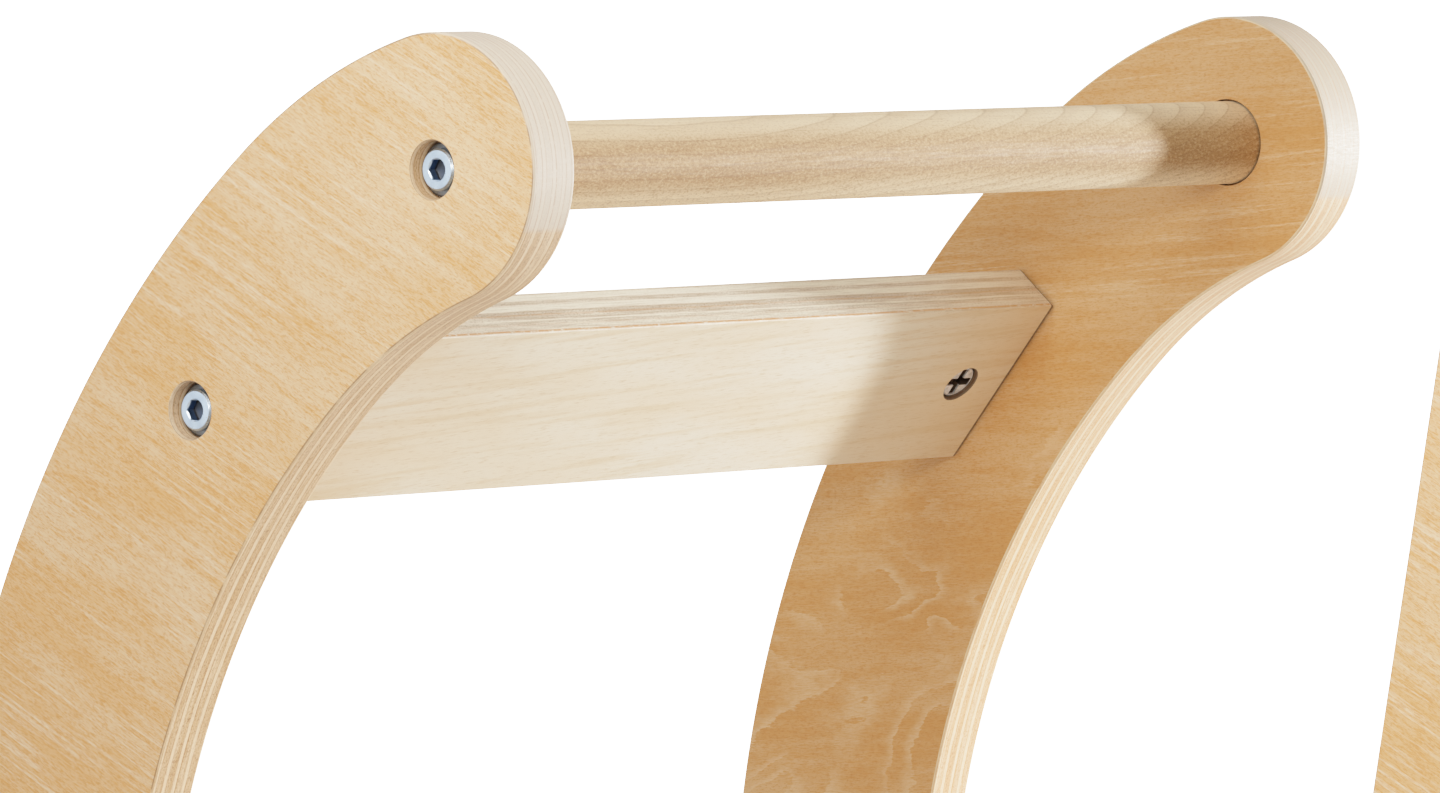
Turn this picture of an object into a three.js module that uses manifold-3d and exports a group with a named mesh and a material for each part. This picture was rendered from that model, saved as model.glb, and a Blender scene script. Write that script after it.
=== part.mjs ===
// Two-seat rocking seesaw for small children, in plywood and turned wood, held by barrel-nut bolts.
//
// Millimetres. +X runs along the seesaw, +Y across it and +Z up. The origin is on the floor,
// below the middle of the seesaw. "left" is the -X end, "near" is the -Y side.

import * as THREE from 'three';
import { mergeVertices } from 'three/addons/utils/BufferGeometryUtils.js';
import Module from 'manifold-3d';

const wasm = await Module();
wasm.setup();

// ---------------------------------------------------------------- driving dimensions

const SHEET = 15;               // plywood thickness of every flat piece
const INNER_WIDTH = 295;        // clear width between the two side panels
const GAP = 0.3;                // play between pieces that touch

// side panel outline
const HANDLE_HEIGHT = 430;      // axes of all three handles above the floor
const HANDLE_SPACING = 346.5;   // middle handle to end handle, along X
const HEAD_RADIUS = 33.5;        // rounded heads round the handles, half the width of the horns
const OUTER_UPPER_RADIUS = 154; // back of a horn, just under its head
const OUTER_LOWER_RADIUS = 305; // back of a horn, down to the end of the seesaw
const INNER_UPPER_RADIUS = 134.5; // front of a horn, just under its head
const INNER_LOWER_RADIUS = 238; // front of a horn, down to the seat
const OUTER_UPPER_ANGLE = -73.8;  // directions, in degrees, from the head or the arc above
const OUTER_LOWER_ANGLE = -50.4;  // to the centre of each arc
const INNER_UPPER_ANGLE = -69.5;
const INNER_LOWER_ANGLE = -46.6;
const HOLLOW_HEIGHT = 175;      // panel edge along the seats, above the floor
const HOLLOW_FILLET = 60;       // round corners of the seat hollows
const FLANK_LEAN = 10.3;        // sides of the middle upright, degrees from vertical
const ROCKER_RADIUS = 1140;     // bottom edge that rolls on the floor
const REST_FLAT = 31;           // half length of the flat that it stands on at rest

// pieces between the panels
const HANDLE_DIAMETER = 22;
const SOCKET_DIAMETER = 23;     // shallow seats for the handles in the panels
const SOCKET_DEPTH = 3;
const SLAT_WIDTH = 55;
const SLAT_TILT = 50.4;         // from horizontal, degrees
const SLAT_BACK = 82.2;         // middle of a back slat behind and below its handle
const SLAT_DROP = 61.5;
const SEAT_DEPTH = 215;
const SEAT_TOP = 168;           // above the floor
const SEAT_MIDDLE = 319;        // along X from the middle of the seesaw
const SEAT_BOLT_OFFSET = 70;
const FOOT_DEPTH = 300;
const FOOT_TOP = 40;
const FOOT_BOLT_OFFSET = 100;

// M6 fixings: hex-socket bolt with captive washer, barrel nut, threaded insert
const BOLT_RADIUS = 2.95;
const BOLT_LENGTH = 38;         // below the washer
const BOLT_HEAD_RADIUS = 5.2;
const BOLT_HEAD_HEIGHT = 2.8;
const HEX_ACROSS_FLATS = 5;
const HEX_DEPTH = 3.2;
const WASHER_RADIUS = 6.8;
const WASHER_THICKNESS = 1.2;
const WASHER_SEAT = 5.2;        // underside of the washer, below the panel's outer face
const COUNTERBORE_RADIUS = 7.25;
const CLEARANCE_RADIUS = 3.3;
const BORE_DEPTH = 33;          // bolt bores in the ends of the cross pieces
const BARREL_RADIUS = 5;
const BARREL_LENGTH = 13;
const BARREL_HOLE_RADIUS = 5.4;
const BARREL_HOLE_DEPTH = 13.8;
const BARREL_BELOW_FACE = 0.4;
const BARREL_FROM_END = 18.5;   // barrel nut's axis to the end of its board
const THREAD_RADIUS = 3.15;     // bore of the nuts, threads left out
const SLOT_WIDTH = 1.8;         // driver slots across the barrel nut
const SLOT_LENGTH = 8.8;
const SLOT_DEPTH = 2;
const INSERT_RADIUS = 5;
const INSERT_LENGTH = 13;

// facets of round pieces
const ROUND = { handle: 20, counterbore: 12, clearance: 8, bolt: 10, barrel: 10, thread: 10 };

// ---------------------------------------------------------------- materials

const FINISHES = {
  veneer: { color: 0xdfb47c, roughness: 0.55, metalness: 0 },
  board: { color: 0xe8d6ba, roughness: 0.6, metalness: 0 },
  dowel: { color: 0xdcc39c, roughness: 0.6, metalness: 0 },
  zinc: { color: 0xc6d2dc, roughness: 0.3, metalness: 1 },
  nut: { color: 0xb9b9b6, roughness: 0.4, metalness: 1 },
};

function finish(name) {
  return new THREE.MeshStandardMaterial({ ...FINISHES[name], name });
}

// ---------------------------------------------------------------- solids

function toSolid(geometry) {
  const bare = geometry.clone();
  bare.deleteAttribute('normal');
  bare.deleteAttribute('uv');
  const merged = mergeVertices(bare, 1e-4);
  return new wasm.Manifold(new wasm.Mesh({
    numProp: 3,
    vertProperties: new Float32Array(merged.attributes.position.array),
    triVerts: new Uint32Array(merged.index.array),
  }));
}

function toMesh(name, solid, finishName) {
  const { vertProperties, triVerts } = solid.getMesh();
  const geometry = new THREE.BufferGeometry();
  geometry.setAttribute('position', new THREE.BufferAttribute(vertProperties, 3));
  geometry.setIndex(new THREE.BufferAttribute(triVerts, 1));
  geometry.computeVertexNormals();
  const mesh = new THREE.Mesh(geometry, finish(finishName));
  mesh.name = name;
  return mesh;
}

// A round bar along Y from yLow to yHigh, at x and z.
function barAlongY(radius, yLow, yHigh, x, z, sides) {
  const bar = new THREE.CylinderGeometry(radius, radius, yHigh - yLow, sides);
  bar.translate(x, (yLow + yHigh) / 2, z);
  return toSolid(bar);
}

// A round bar along Z from zLow to zHigh, at x and y.
function barAlongZ(radius, zLow, zHigh, x, y, sides) {
  const bar = new THREE.CylinderGeometry(radius, radius, zHigh - zLow, sides);
  bar.rotateX(Math.PI / 2);
  bar.translate(x, y, (zLow + zHigh) / 2);
  return toSolid(bar);
}

function block(xSize, ySize, zSize, x, y, z) {
  const box = new THREE.BoxGeometry(xSize, ySize, zSize);
  box.translate(x, y, z);
  return toSolid(box);
}

// ---------------------------------------------------------------- side panels

const radians = THREE.MathUtils.degToRad;

function polar(centre, radius, degrees) {
  const angle = radians(degrees);
  return new THREE.Vector2(centre.x + radius * Math.cos(angle), centre.y + radius * Math.sin(angle));
}

function arc(centre, radius, fromDegrees, toDegrees, steps) {
  const points = [];
  for (let step = 0; step <= steps; step += 1) {
    points.push(polar(centre, radius, fromDegrees + (toDegrees - fromDegrees) * step / steps));
  }
  return points;
}

// The left half of the outline, from the flat on the floor, up round the horn, along the seat
// hollow and up the middle upright. Each arc is tangent to the next.
function leftHalfOutline() {
  const head = new THREE.Vector2(-HANDLE_SPACING, HANDLE_HEIGHT);
  const outerUpper = polar(head, OUTER_UPPER_RADIUS - HEAD_RADIUS, OUTER_UPPER_ANGLE);
  const outerLower = polar(outerUpper, OUTER_LOWER_RADIUS - OUTER_UPPER_RADIUS, OUTER_LOWER_ANGLE);
  const innerUpper = polar(head, INNER_UPPER_RADIUS + HEAD_RADIUS, INNER_UPPER_ANGLE);
  const innerLower = polar(innerUpper, INNER_LOWER_RADIUS - INNER_UPPER_RADIUS, INNER_LOWER_ANGLE);

  // the corner between the end of the seesaw and the rocker
  const halfLength = OUTER_LOWER_RADIUS - outerLower.x;
  const rocker = new THREE.Vector2(0, Math.sqrt(ROCKER_RADIUS ** 2 - REST_FLAT ** 2));
  const rise = rocker.y - outerLower.y;
  const cornerRadius = (ROCKER_RADIUS ** 2 - halfLength ** 2 - rise ** 2)
    / (2 * (ROCKER_RADIUS - halfLength));
  const corner = new THREE.Vector2(cornerRadius - halfLength, outerLower.y);
  const flatAngle = THREE.MathUtils.radToDeg(Math.asin(REST_FLAT / ROCKER_RADIUS));
  const rockerAngle = THREE.MathUtils.radToDeg(Math.atan2(-corner.x, rise));

  // the two round corners of the seat hollow
  const filletHeight = HOLLOW_HEIGHT + HOLLOW_FILLET;
  const filletReach = INNER_LOWER_RADIUS - HOLLOW_FILLET;
  const filletDrop = filletHeight - innerLower.y;
  const backFillet = new THREE.Vector2(
    innerLower.x - Math.sqrt(filletReach ** 2 - filletDrop ** 2), filletHeight);
  const backAngle = 180 - THREE.MathUtils.radToDeg(Math.asin(filletDrop / filletReach));
  const lean = radians(FLANK_LEAN);
  const frontFillet = new THREE.Vector2(
    -(HEAD_RADIUS + HOLLOW_FILLET) / Math.cos(lean)
      - (HANDLE_HEIGHT - filletHeight) * Math.tan(lean),
    filletHeight);
  const middleHead = new THREE.Vector2(0, HANDLE_HEIGHT);

  return [
    ...arc(rocker, ROCKER_RADIUS, 270 - flatAngle, 270 - rockerAngle, 7),
    ...arc(corner, cornerRadius, 270 - rockerAngle, 180, 8).slice(1),
    ...arc(outerLower, OUTER_LOWER_RADIUS, 180, 180 + OUTER_LOWER_ANGLE, 9).slice(1),
    ...arc(outerUpper, OUTER_UPPER_RADIUS, 180 + OUTER_LOWER_ANGLE, 180 + OUTER_UPPER_ANGLE, 6)
      .slice(1),
    ...arc(head, HEAD_RADIUS, 180 + OUTER_UPPER_ANGLE, INNER_UPPER_ANGLE, 15).slice(1),
    ...arc(innerUpper, INNER_UPPER_RADIUS, 180 + INNER_UPPER_ANGLE, 180 + INNER_LOWER_ANGLE, 4)
      .slice(1),
    ...arc(innerLower, INNER_LOWER_RADIUS, 180 + INNER_LOWER_ANGLE, backAngle, 6).slice(1),
    ...arc(backFillet, HOLLOW_FILLET, backAngle, 270, 8).slice(1),
    ...arc(frontFillet, HOLLOW_FILLET, 270, 360 - FLANK_LEAN, 6),
    ...arc(middleHead, HEAD_RADIUS, 180 - FLANK_LEAN, 90, 7),
  ];
}

function panelOutline() {
  const left = leftHalfOutline();
  const right = left.slice(0, -1).reverse().map((point) => new THREE.Vector2(-point.x, point.y));
  return new THREE.Shape([...left, ...right]);
}

// A side panel standing with its outer face at y = 0 and its inner face at y = SHEET.
// The far panel is the near one turned half round, and its bolt places are already symmetric.
function sidePanel(name, boltPlaces, socketPlaces) {
  const slab = new THREE.ExtrudeGeometry(panelOutline(), { depth: SHEET, bevelEnabled: false });
  slab.rotateX(Math.PI / 2);
  slab.translate(0, SHEET, 0);
  let solid = toSolid(slab);
  const seat = WASHER_SEAT + GAP;
  for (const { x, z } of boltPlaces) {
    const counterbore = barAlongY(COUNTERBORE_RADIUS, -1, seat, x, z, ROUND.counterbore);
    const clearance = barAlongY(CLEARANCE_RADIUS, seat - 1, SHEET + 1, x, z, ROUND.clearance);
    solid = solid.subtract(counterbore).subtract(clearance);
  }
  for (const { x, z } of socketPlaces) {
    const low = SHEET - SOCKET_DEPTH;
    solid = solid.subtract(barAlongY(SOCKET_DIAMETER / 2, low, SHEET + 1, x, z, ROUND.handle));
  }
  return toMesh(name, solid, 'veneer');
}

// ---------------------------------------------------------------- fixings

// A bolt along +Y, with the underside of its washer at y = 0.
function bolt(name) {
  const washerTop = -WASHER_THICKNESS;
  const headTop = washerTop - BOLT_HEAD_HEIGHT;
  const chamfer = 0.5;
  const profile = [
    [0, headTop],
    [BOLT_HEAD_RADIUS - chamfer, headTop],
    [BOLT_HEAD_RADIUS, headTop + chamfer],
    [BOLT_HEAD_RADIUS, washerTop],
    [WASHER_RADIUS, washerTop],
    [WASHER_RADIUS, 0],
    [BOLT_RADIUS, 0],
    [BOLT_RADIUS, BOLT_LENGTH - 1],
    [BOLT_RADIUS - 1, BOLT_LENGTH],
    [0, BOLT_LENGTH],
  ].map(([radius, y]) => new THREE.Vector2(radius, y));
  const body = toSolid(new THREE.LatheGeometry(profile, ROUND.bolt));
  const hexRadius = HEX_ACROSS_FLATS / 2 / Math.cos(Math.PI / 6);
  const socket = barAlongY(hexRadius, headTop - 1, headTop + HEX_DEPTH, 0, 0, 6);
  return toMesh(name, body.subtract(socket), 'zinc');
}

// A threaded insert along +Y, with its outer end at y = 0.
function insertNut(name) {
  const sleeve = barAlongY(INSERT_RADIUS, 0, INSERT_LENGTH, 0, 0, ROUND.barrel);
  const thread = barAlongY(THREAD_RADIUS, -1, INSERT_LENGTH + 1, 0, 0, ROUND.thread);
  return toMesh(name, sleeve.subtract(thread), 'nut');
}

// A barrel nut along Z for a board whose middle plane is z = 0. Its slotted end faces -Z.
function barrelNut(name) {
  const slotted = BARREL_BELOW_FACE - SHEET / 2;
  const slotFloor = slotted + SLOT_DEPTH;
  const barrel = barAlongZ(BARREL_RADIUS, slotted, slotted + BARREL_LENGTH, 0, 0, ROUND.barrel);
  const thread = barAlongY(THREAD_RADIUS, -2 * BARREL_RADIUS, 2 * BARREL_RADIUS, 0, 0, ROUND.thread);
  const slotMiddle = slotFloor - SLOT_DEPTH;
  const slots = block(SLOT_LENGTH, SLOT_WIDTH, 2 * SLOT_DEPTH, 0, 0, slotMiddle)
    .add(block(SLOT_WIDTH, SLOT_LENGTH, 2 * SLOT_DEPTH, 0, 0, slotMiddle));
  return toMesh(name, barrel.subtract(thread).subtract(slots), 'nut');
}

// ---------------------------------------------------------------- pieces between the panels

const SIDES = [
  { side: 'near', sign: -1 },
  { side: 'far', sign: 1 },
];

// Puts a fixing that is modelled along +Y on one side of the seesaw, pointing inwards.
function pointInwards(mesh, sign, x, distance) {
  mesh.position.set(x, sign * distance, 0);
  mesh.rotation.z = sign > 0 ? Math.PI : 0;
  return mesh;
}

const OUTER_FACE = INNER_WIDTH / 2 + SHEET;
const HANDLE_END = INNER_WIDTH / 2 + SOCKET_DEPTH - GAP;
const BOARD_END = INNER_WIDTH / 2 - GAP;

// A round handle on the axis of its group, with a threaded insert and a bolt in each end.
function handle(label) {
  let rod = barAlongY(HANDLE_DIAMETER / 2, -HANDLE_END, HANDLE_END, 0, 0, ROUND.handle);
  const group = new THREE.Group();
  for (const { side, sign } of SIDES) {
    const wide = [HANDLE_END - INSERT_LENGTH - 2 * GAP, HANDLE_END + 1].map((y) => sign * y);
    const narrow = [HANDLE_END - BORE_DEPTH, HANDLE_END].map((y) => sign * y);
    const insertBore = barAlongY(INSERT_RADIUS + GAP, Math.min(...wide), Math.max(...wide),
      0, 0, ROUND.barrel);
    const boltBore = barAlongY(CLEARANCE_RADIUS, Math.min(...narrow), Math.max(...narrow),
      0, 0, ROUND.clearance);
    rod = rod.subtract(insertBore).subtract(boltBore);
    const insert = insertNut(`insert_nut_${label}_${side}`);
    group.add(pointInwards(insert, sign, 0, HANDLE_END - GAP));
    group.add(pointInwards(bolt(`bolt_${label}_${side}`), sign, 0, OUTER_FACE - WASHER_SEAT));
  }
  group.add(toMesh(label, rod, 'dowel'));
  return group;
}

// A plywood board centred in its group, with its barrel nuts let in from the -Z face.
function board(label, width, boltOffsets) {
  let plank = block(width, 2 * BOARD_END, SHEET, 0, 0, 0);
  const group = new THREE.Group();
  for (const { side, sign } of SIDES) {
    boltOffsets.forEach((offset, index) => {
      const suffix = boltOffsets.length > 1 ? `_${index + 1}` : '';
      const ends = [BOARD_END - BORE_DEPTH, BOARD_END + 1].map((y) => sign * y);
      const boltBore = barAlongY(CLEARANCE_RADIUS, Math.min(...ends), Math.max(...ends),
        offset, 0, ROUND.clearance);
      const nutPlace = sign * (BOARD_END - BARREL_FROM_END);
      const nutHole = barAlongZ(BARREL_HOLE_RADIUS, -SHEET, BARREL_HOLE_DEPTH - SHEET / 2,
        offset, nutPlace, ROUND.counterbore);
      plank = plank.subtract(boltBore).subtract(nutHole);
      const nut = barrelNut(`barrel_nut_${label}_${side}${suffix}`);
      nut.position.set(offset, nutPlace, 0);
      group.add(nut);
      const screw = bolt(`bolt_${label}_${side}${suffix}`);
      group.add(pointInwards(screw, sign, offset, OUTER_FACE - WASHER_SEAT));
    });
  }
  group.add(toMesh(label, plank, 'board'));
  return group;
}

// Every cross piece: what makes it, where its middle is, how it tilts and where its bolts are.
function crossPieces() {
  const pieces = [{ label: 'handle_centre', x: 0, z: HANDLE_HEIGHT, tilt: 0, offsets: [0] }];
  for (const [end, sign] of [['left', -1], ['right', 1]]) {
    pieces.push({
      label: `handle_${end}`, x: sign * HANDLE_SPACING, z: HANDLE_HEIGHT, tilt: 0, offsets: [0],
    });
    pieces.push({
      label: `back_slat_${end}`,
      width: SLAT_WIDTH,
      x: sign * (HANDLE_SPACING + SLAT_BACK),
      z: HANDLE_HEIGHT - SLAT_DROP,
      tilt: -sign * SLAT_TILT,
      offsets: [0],
    });
    pieces.push({
      label: `seat_board_${end}`,
      width: SEAT_DEPTH,
      x: sign * SEAT_MIDDLE,
      z: SEAT_TOP - SHEET / 2,
      tilt: 0,
      offsets: [-SEAT_BOLT_OFFSET, SEAT_BOLT_OFFSET],
    });
  }
  pieces.push({
    label: 'foot_board',
    width: FOOT_DEPTH,
    x: 0,
    z: FOOT_TOP - SHEET / 2,
    tilt: 0,
    offsets: [-FOOT_BOLT_OFFSET, FOOT_BOLT_OFFSET],
  });
  return pieces;
}

function boltPlacesOf({ x, z, tilt, offsets }) {
  const angle = radians(tilt);
  return offsets.map((offset) => ({
    x: x + offset * Math.cos(angle),
    z: z + offset * Math.sin(angle),
  }));
}

// ---------------------------------------------------------------- assembly

const seesaw = new THREE.Group();
const pieces = crossPieces();
const handles = pieces.filter((piece) => piece.width === undefined);
const boltPlaces = pieces.flatMap(boltPlacesOf);

for (const { side, sign } of SIDES) {
  const panel = sidePanel(`side_panel_${side}`, boltPlaces, handles);
  panel.position.y = sign * OUTER_FACE;
  panel.rotation.z = sign > 0 ? Math.PI : 0;
  seesaw.add(panel);
}

for (const piece of pieces) {
  const group = piece.width === undefined
    ? handle(piece.label)
    : board(piece.label, piece.width, piece.offsets);
  group.position.set(piece.x, 0, piece.z);
  group.rotation.y = -radians(piece.tilt);
  seesaw.add(group);
}

export default seesaw;
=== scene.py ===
"""The looks of a two-seat rocking seesaw in birch plywood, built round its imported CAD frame.

Every CAD node is replaced by a finer piece in the same place. Shapes are drawn in millimetres in a
frame of their own, where a panel's or board's thickness, a handle or a bolt runs along Z, and then
go to their places in the seesaw, which is in metres. What the wood patterns need of that first
frame stays on the mesh: "grain", the place of a point in millimetres, and "cut", which way a face
was cut.
"""

import math

import bmesh
import bpy
from mathutils import Matrix, Vector


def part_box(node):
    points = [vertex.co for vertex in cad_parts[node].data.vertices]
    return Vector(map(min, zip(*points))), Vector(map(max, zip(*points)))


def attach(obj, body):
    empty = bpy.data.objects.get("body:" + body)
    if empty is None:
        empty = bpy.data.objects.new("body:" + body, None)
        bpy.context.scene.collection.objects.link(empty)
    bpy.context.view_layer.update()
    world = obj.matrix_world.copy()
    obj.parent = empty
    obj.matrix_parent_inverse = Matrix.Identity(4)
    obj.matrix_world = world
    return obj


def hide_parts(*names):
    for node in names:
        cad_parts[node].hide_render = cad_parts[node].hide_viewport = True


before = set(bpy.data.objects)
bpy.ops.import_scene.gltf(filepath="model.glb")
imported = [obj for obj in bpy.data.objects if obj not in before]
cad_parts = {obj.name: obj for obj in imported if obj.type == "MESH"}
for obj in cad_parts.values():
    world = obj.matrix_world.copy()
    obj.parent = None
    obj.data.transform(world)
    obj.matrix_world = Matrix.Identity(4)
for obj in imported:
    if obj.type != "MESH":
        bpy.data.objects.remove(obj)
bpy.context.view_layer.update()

MM = 0.001

# ---------------------------------------------------------------- sizes, in millimetres

SHEET = 15.0
# plies from the +Z face inwards: thickness, tone from light 0 to dark 1, and strength of the glue
# line that follows
PANEL_PLIES = (
    (1.3, 0.15, 0.7), (2.0, 0.75, 0.8), (1.4, 0.0, 0.5), (2.2, 1.0, 0.6), (1.4, 0.05, 0.9),
    (2.1, 0.7, 0.5), (1.4, 0.0, 0.7), (2.1, 0.8, 0.6), (1.1, 0.1, 0.0),
)
BOARD_PLIES = (
    (0.9, 0.6, 0.1), (2.2, 0.0, 0.1), (1.4, 0.75, 0.1), (2.3, 0.05, 0.1), (1.6, 1.0, 0.4),
    (1.7, 0.75, 0.1), (0.6, 0.1, 0.1), (1.2, 0.7, 0.2), (2.4, 0.4, 1.0), (0.7, 0.1, 0.0),
)

# side panel outline: radii, and directions in degrees from one arc's centre to the next one's
HEAD_RADIUS = 33.5
OUTER_UPPER_RADIUS = 154.0
OUTER_LOWER_RADIUS = 305.0
INNER_UPPER_RADIUS = 134.5
INNER_LOWER_RADIUS = 238.0
OUTER_UPPER_ANGLE = -73.8
OUTER_LOWER_ANGLE = -50.4
INNER_UPPER_ANGLE = -69.5
INNER_LOWER_ANGLE = -46.6
HOLLOW_HEIGHT = 175.0
HOLLOW_FILLET = 60.0
FLANK_LEAN = 10.3
ROCKER_RADIUS = 1140.0
REST_FLAT = 31.0

PANEL_ARRIS = 0.8
BOARD_ARRIS = 0.5
BOARD_CORNER = 1.0
SOCKET_RADIUS = 11.5
SOCKET_DEPTH = 3.0
SLAT_TILTS = {"back_slat_left": 50.4, "back_slat_right": -50.4}  # degrees from horizontal
HANDLE_RADIUS = 11.0
HANDLE_CHAMFER = 0.6

# fixings
WASHER_SEAT = 5.2
WASHER_RADIUS = 6.8
WASHER_THICKNESS = 1.0
BOLT_RADIUS = 2.95
BOLT_LENGTH = 38.0
BOLT_HEAD_RADIUS = 5.2
BOLT_HEAD_HEIGHT = 2.4
HEX_ACROSS_FLATS = 5.0
HEX_DEPTH = 3.0
THREAD_PITCH = 1.0
THREAD_DEPTH = 0.5
THREADED_LENGTH = 24.0
COUNTERBORE_RADIUS = 7.25
COUNTERBORE_DEPTH = 5.5
COUNTERBORE_RIM = 0.25
CLEARANCE_RADIUS = 3.3
BORE_DEPTH = 33.0
BARREL_RADIUS = 5.2
BARREL_LENGTH = 12.4
BARREL_HOLE_RADIUS = 5.6
BARREL_HOLE_DEPTH = 13.8
NUT_HOLE_RIM = 0.2
BARREL_BELOW_FACE = 1.0
CAD_NUT_TO_BOARD_MIDDLE = 0.6
SLOT_WIDTH = 2.4
SLOT_LENGTH = 8.8
SLOT_DEPTH = 2.2
THREAD_BORE = 3.15
INSERT_RADIUS = 5.0
INSERT_LENGTH = 13.0
PLAY = 0.3                  # round the inserts

# wood patterns
SEED_STRIDE = (171.3, 93.7, 57.1)   # between the patterns of one seed and the next
PLY_BLUR = 0.08
PANEL_GLUE_WIDTH = 0.28
BOARD_GLUE_WIDTH = 0.6
BOARD_LENGTH = 295.0
PALE_FROM = 414.0           # height above which the edges of the heads are bleached
CONTOURS_BELOW = 350.0      # height below which a veneer can show contour bands
CONTOUR_RINGS = 9.0
RING_SPACING = 2.9          # of the handles' year rings
RING_SLANT = 0.12
RING_BOW = 0.0006
RING_BEND = 9.0
RING_LEAN = 0.12

# fineness of curves
ARC_STEP = 2.0
ARRIS_STEPS = 5
CORNER_STEPS = 4
FINE_ROUND = 96
SMALL_ROUND = 48
SHARP_ANGLE = math.radians(32)
OVERCUT = 1.0               # how far a cutter reaches past a face

# the photo's camera: degrees, lens in millimetres, and metres from the point where the left
# handle's axis meets the near panel's outer face
CAMERA_AZIMUTH = 41.33
CAMERA_ELEVATION = 3.089
CAMERA_LENS = 252.0
CAMERA_RIGHT = 0.0700
CAMERA_DOWN = 0.0550
CAMERA_DISTANCE = 2.447
FLOOR_RADIUS = 2.3          # metres


def span(node):
    """Lowest and highest corner of a CAD node, in millimetres."""
    low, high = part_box(node)
    return low / MM, high / MM


def middle(node):
    low, high = span(node)
    return (low + high) / 2


# ---------------------------------------------------------------- mesh building


def mesh_from(bm):
    """Turns a bmesh, which is used up, into a mesh whose faces look outwards."""
    bmesh.ops.recalc_face_normals(bm, faces=bm.faces)
    mesh = bpy.data.meshes.new("shape")
    bm.to_mesh(mesh)
    bm.free()
    return mesh


def skin(bm, rings, closed):
    """Joins rings of vertices with faces. A ring of one vertex is a pole."""
    pairs = list(zip(rings, rings[1:] + rings[:1] if closed else rings[1:]))
    for lower, upper in pairs:
        count = max(len(lower), len(upper))
        for i in range(count):
            j = (i + 1) % count
            corners = []
            for ring, index in ((lower, i), (lower, j), (upper, j), (upper, i)):
                corner = ring[index % len(ring)]
                if corner not in corners:
                    corners.append(corner)
            bm.faces.new(corners)


def turned(profile, segments=SMALL_ROUND, closed=False):
    """A round body about Z from (radius, z) points. A closed profile makes a ring with a bore."""
    bm = bmesh.new()
    rings = []
    for radius, z in profile:
        count = segments if radius > 0 else 1
        ring = []
        for i in range(count):
            angle = 2 * math.pi * i / count
            ring.append(bm.verts.new((radius * math.cos(angle), radius * math.sin(angle), z)))
        rings.append(ring)
    skin(bm, rings, closed)
    return mesh_from(bm)


def plate(outline, thickness, arris):
    """A flat plate in XY with rounded arrises. The outline is (point, outward normal) pairs."""
    bm = bmesh.new()
    rings = []
    for side in (-1, 1):
        for step in range(ARRIS_STEPS + 1):
            angle = math.pi / 2 * (step if side < 0 else ARRIS_STEPS - step) / ARRIS_STEPS
            inset = arris * (1 - math.sin(angle))
            z = side * (thickness / 2 - arris * (1 - math.cos(angle)))
            ring = []
            for point, normal in outline:
                spot = point - normal * inset
                ring.append(bm.verts.new((spot.x, spot.y, z)))
            rings.append(ring)
    skin(bm, rings, closed=False)
    bm.faces.new(rings[0])
    bm.faces.new(rings[-1])
    return mesh_from(bm)


def block(x_size, y_size, z_size):
    """A box about the origin, as a cutter."""
    bm = bmesh.new()
    bmesh.ops.create_cube(bm, size=1)
    bmesh.ops.scale(bm, vec=(x_size, y_size, z_size), verts=bm.verts)
    return mesh_from(bm)


def merged(parts):
    """One mesh from (mesh, matrix) pairs."""
    bm = bmesh.new()
    for mesh, matrix in parts:
        mesh.transform(matrix)
        bm.from_mesh(mesh)
        bpy.data.meshes.remove(mesh)
    return mesh_from(bm)


def carved(mesh, *cutters):
    """The mesh less each cutter in turn."""
    body = bpy.data.objects.new("body", mesh)
    bpy.context.scene.collection.objects.link(body)
    tools = []
    for cutter in cutters:
        tool = bpy.data.objects.new("tool", cutter)
        bpy.context.scene.collection.objects.link(tool)
        cut = body.modifiers.new("cut", "BOOLEAN")
        cut.operation = "DIFFERENCE"
        cut.solver = "EXACT"
        cut.object = tool
        tools.append(tool)
    bpy.context.view_layer.update()
    seen = body.evaluated_get(bpy.context.evaluated_depsgraph_get())
    result = bpy.data.meshes.new_from_object(seen)
    for old in [body, *tools]:
        bpy.data.objects.remove(old)
    return result


def keep_pattern_frame(mesh):
    """Stores where each point lies and which way each face was cut, for the wood patterns."""
    grain = mesh.attributes.new("grain", "FLOAT_VECTOR", "POINT")
    grain.data.foreach_set("vector", [c for v in mesh.vertices for c in v.co])
    cut = mesh.attributes.new("cut", "FLOAT_VECTOR", "FACE")
    cut.data.foreach_set("vector", [c for p in mesh.polygons for c in p.normal])


def piece(node, mesh, to_seesaw, material):
    """Puts a finished mesh in the place of a CAD node."""
    keep_pattern_frame(mesh)
    mesh.transform(Matrix.Scale(MM, 4) @ to_seesaw)
    mesh.shade_smooth()
    mesh.set_sharp_from_angle(angle=SHARP_ANGLE)
    mesh.materials.clear()
    mesh.materials.append(material)
    made = bpy.data.objects.new(node + "_look", mesh)
    bpy.context.scene.collection.objects.link(made)
    flat_faces = made.modifiers.new("flat_faces", "WEIGHTED_NORMAL")
    flat_faces.keep_sharp = True
    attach(made, "root")
    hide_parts(node)


def at(x=0.0, y=0.0, z=0.0):
    return Matrix.Translation((x, y, z))


def turn(degrees, axis):
    return Matrix.Rotation(math.radians(degrees), 4, axis)


# ---------------------------------------------------------------- materials


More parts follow.
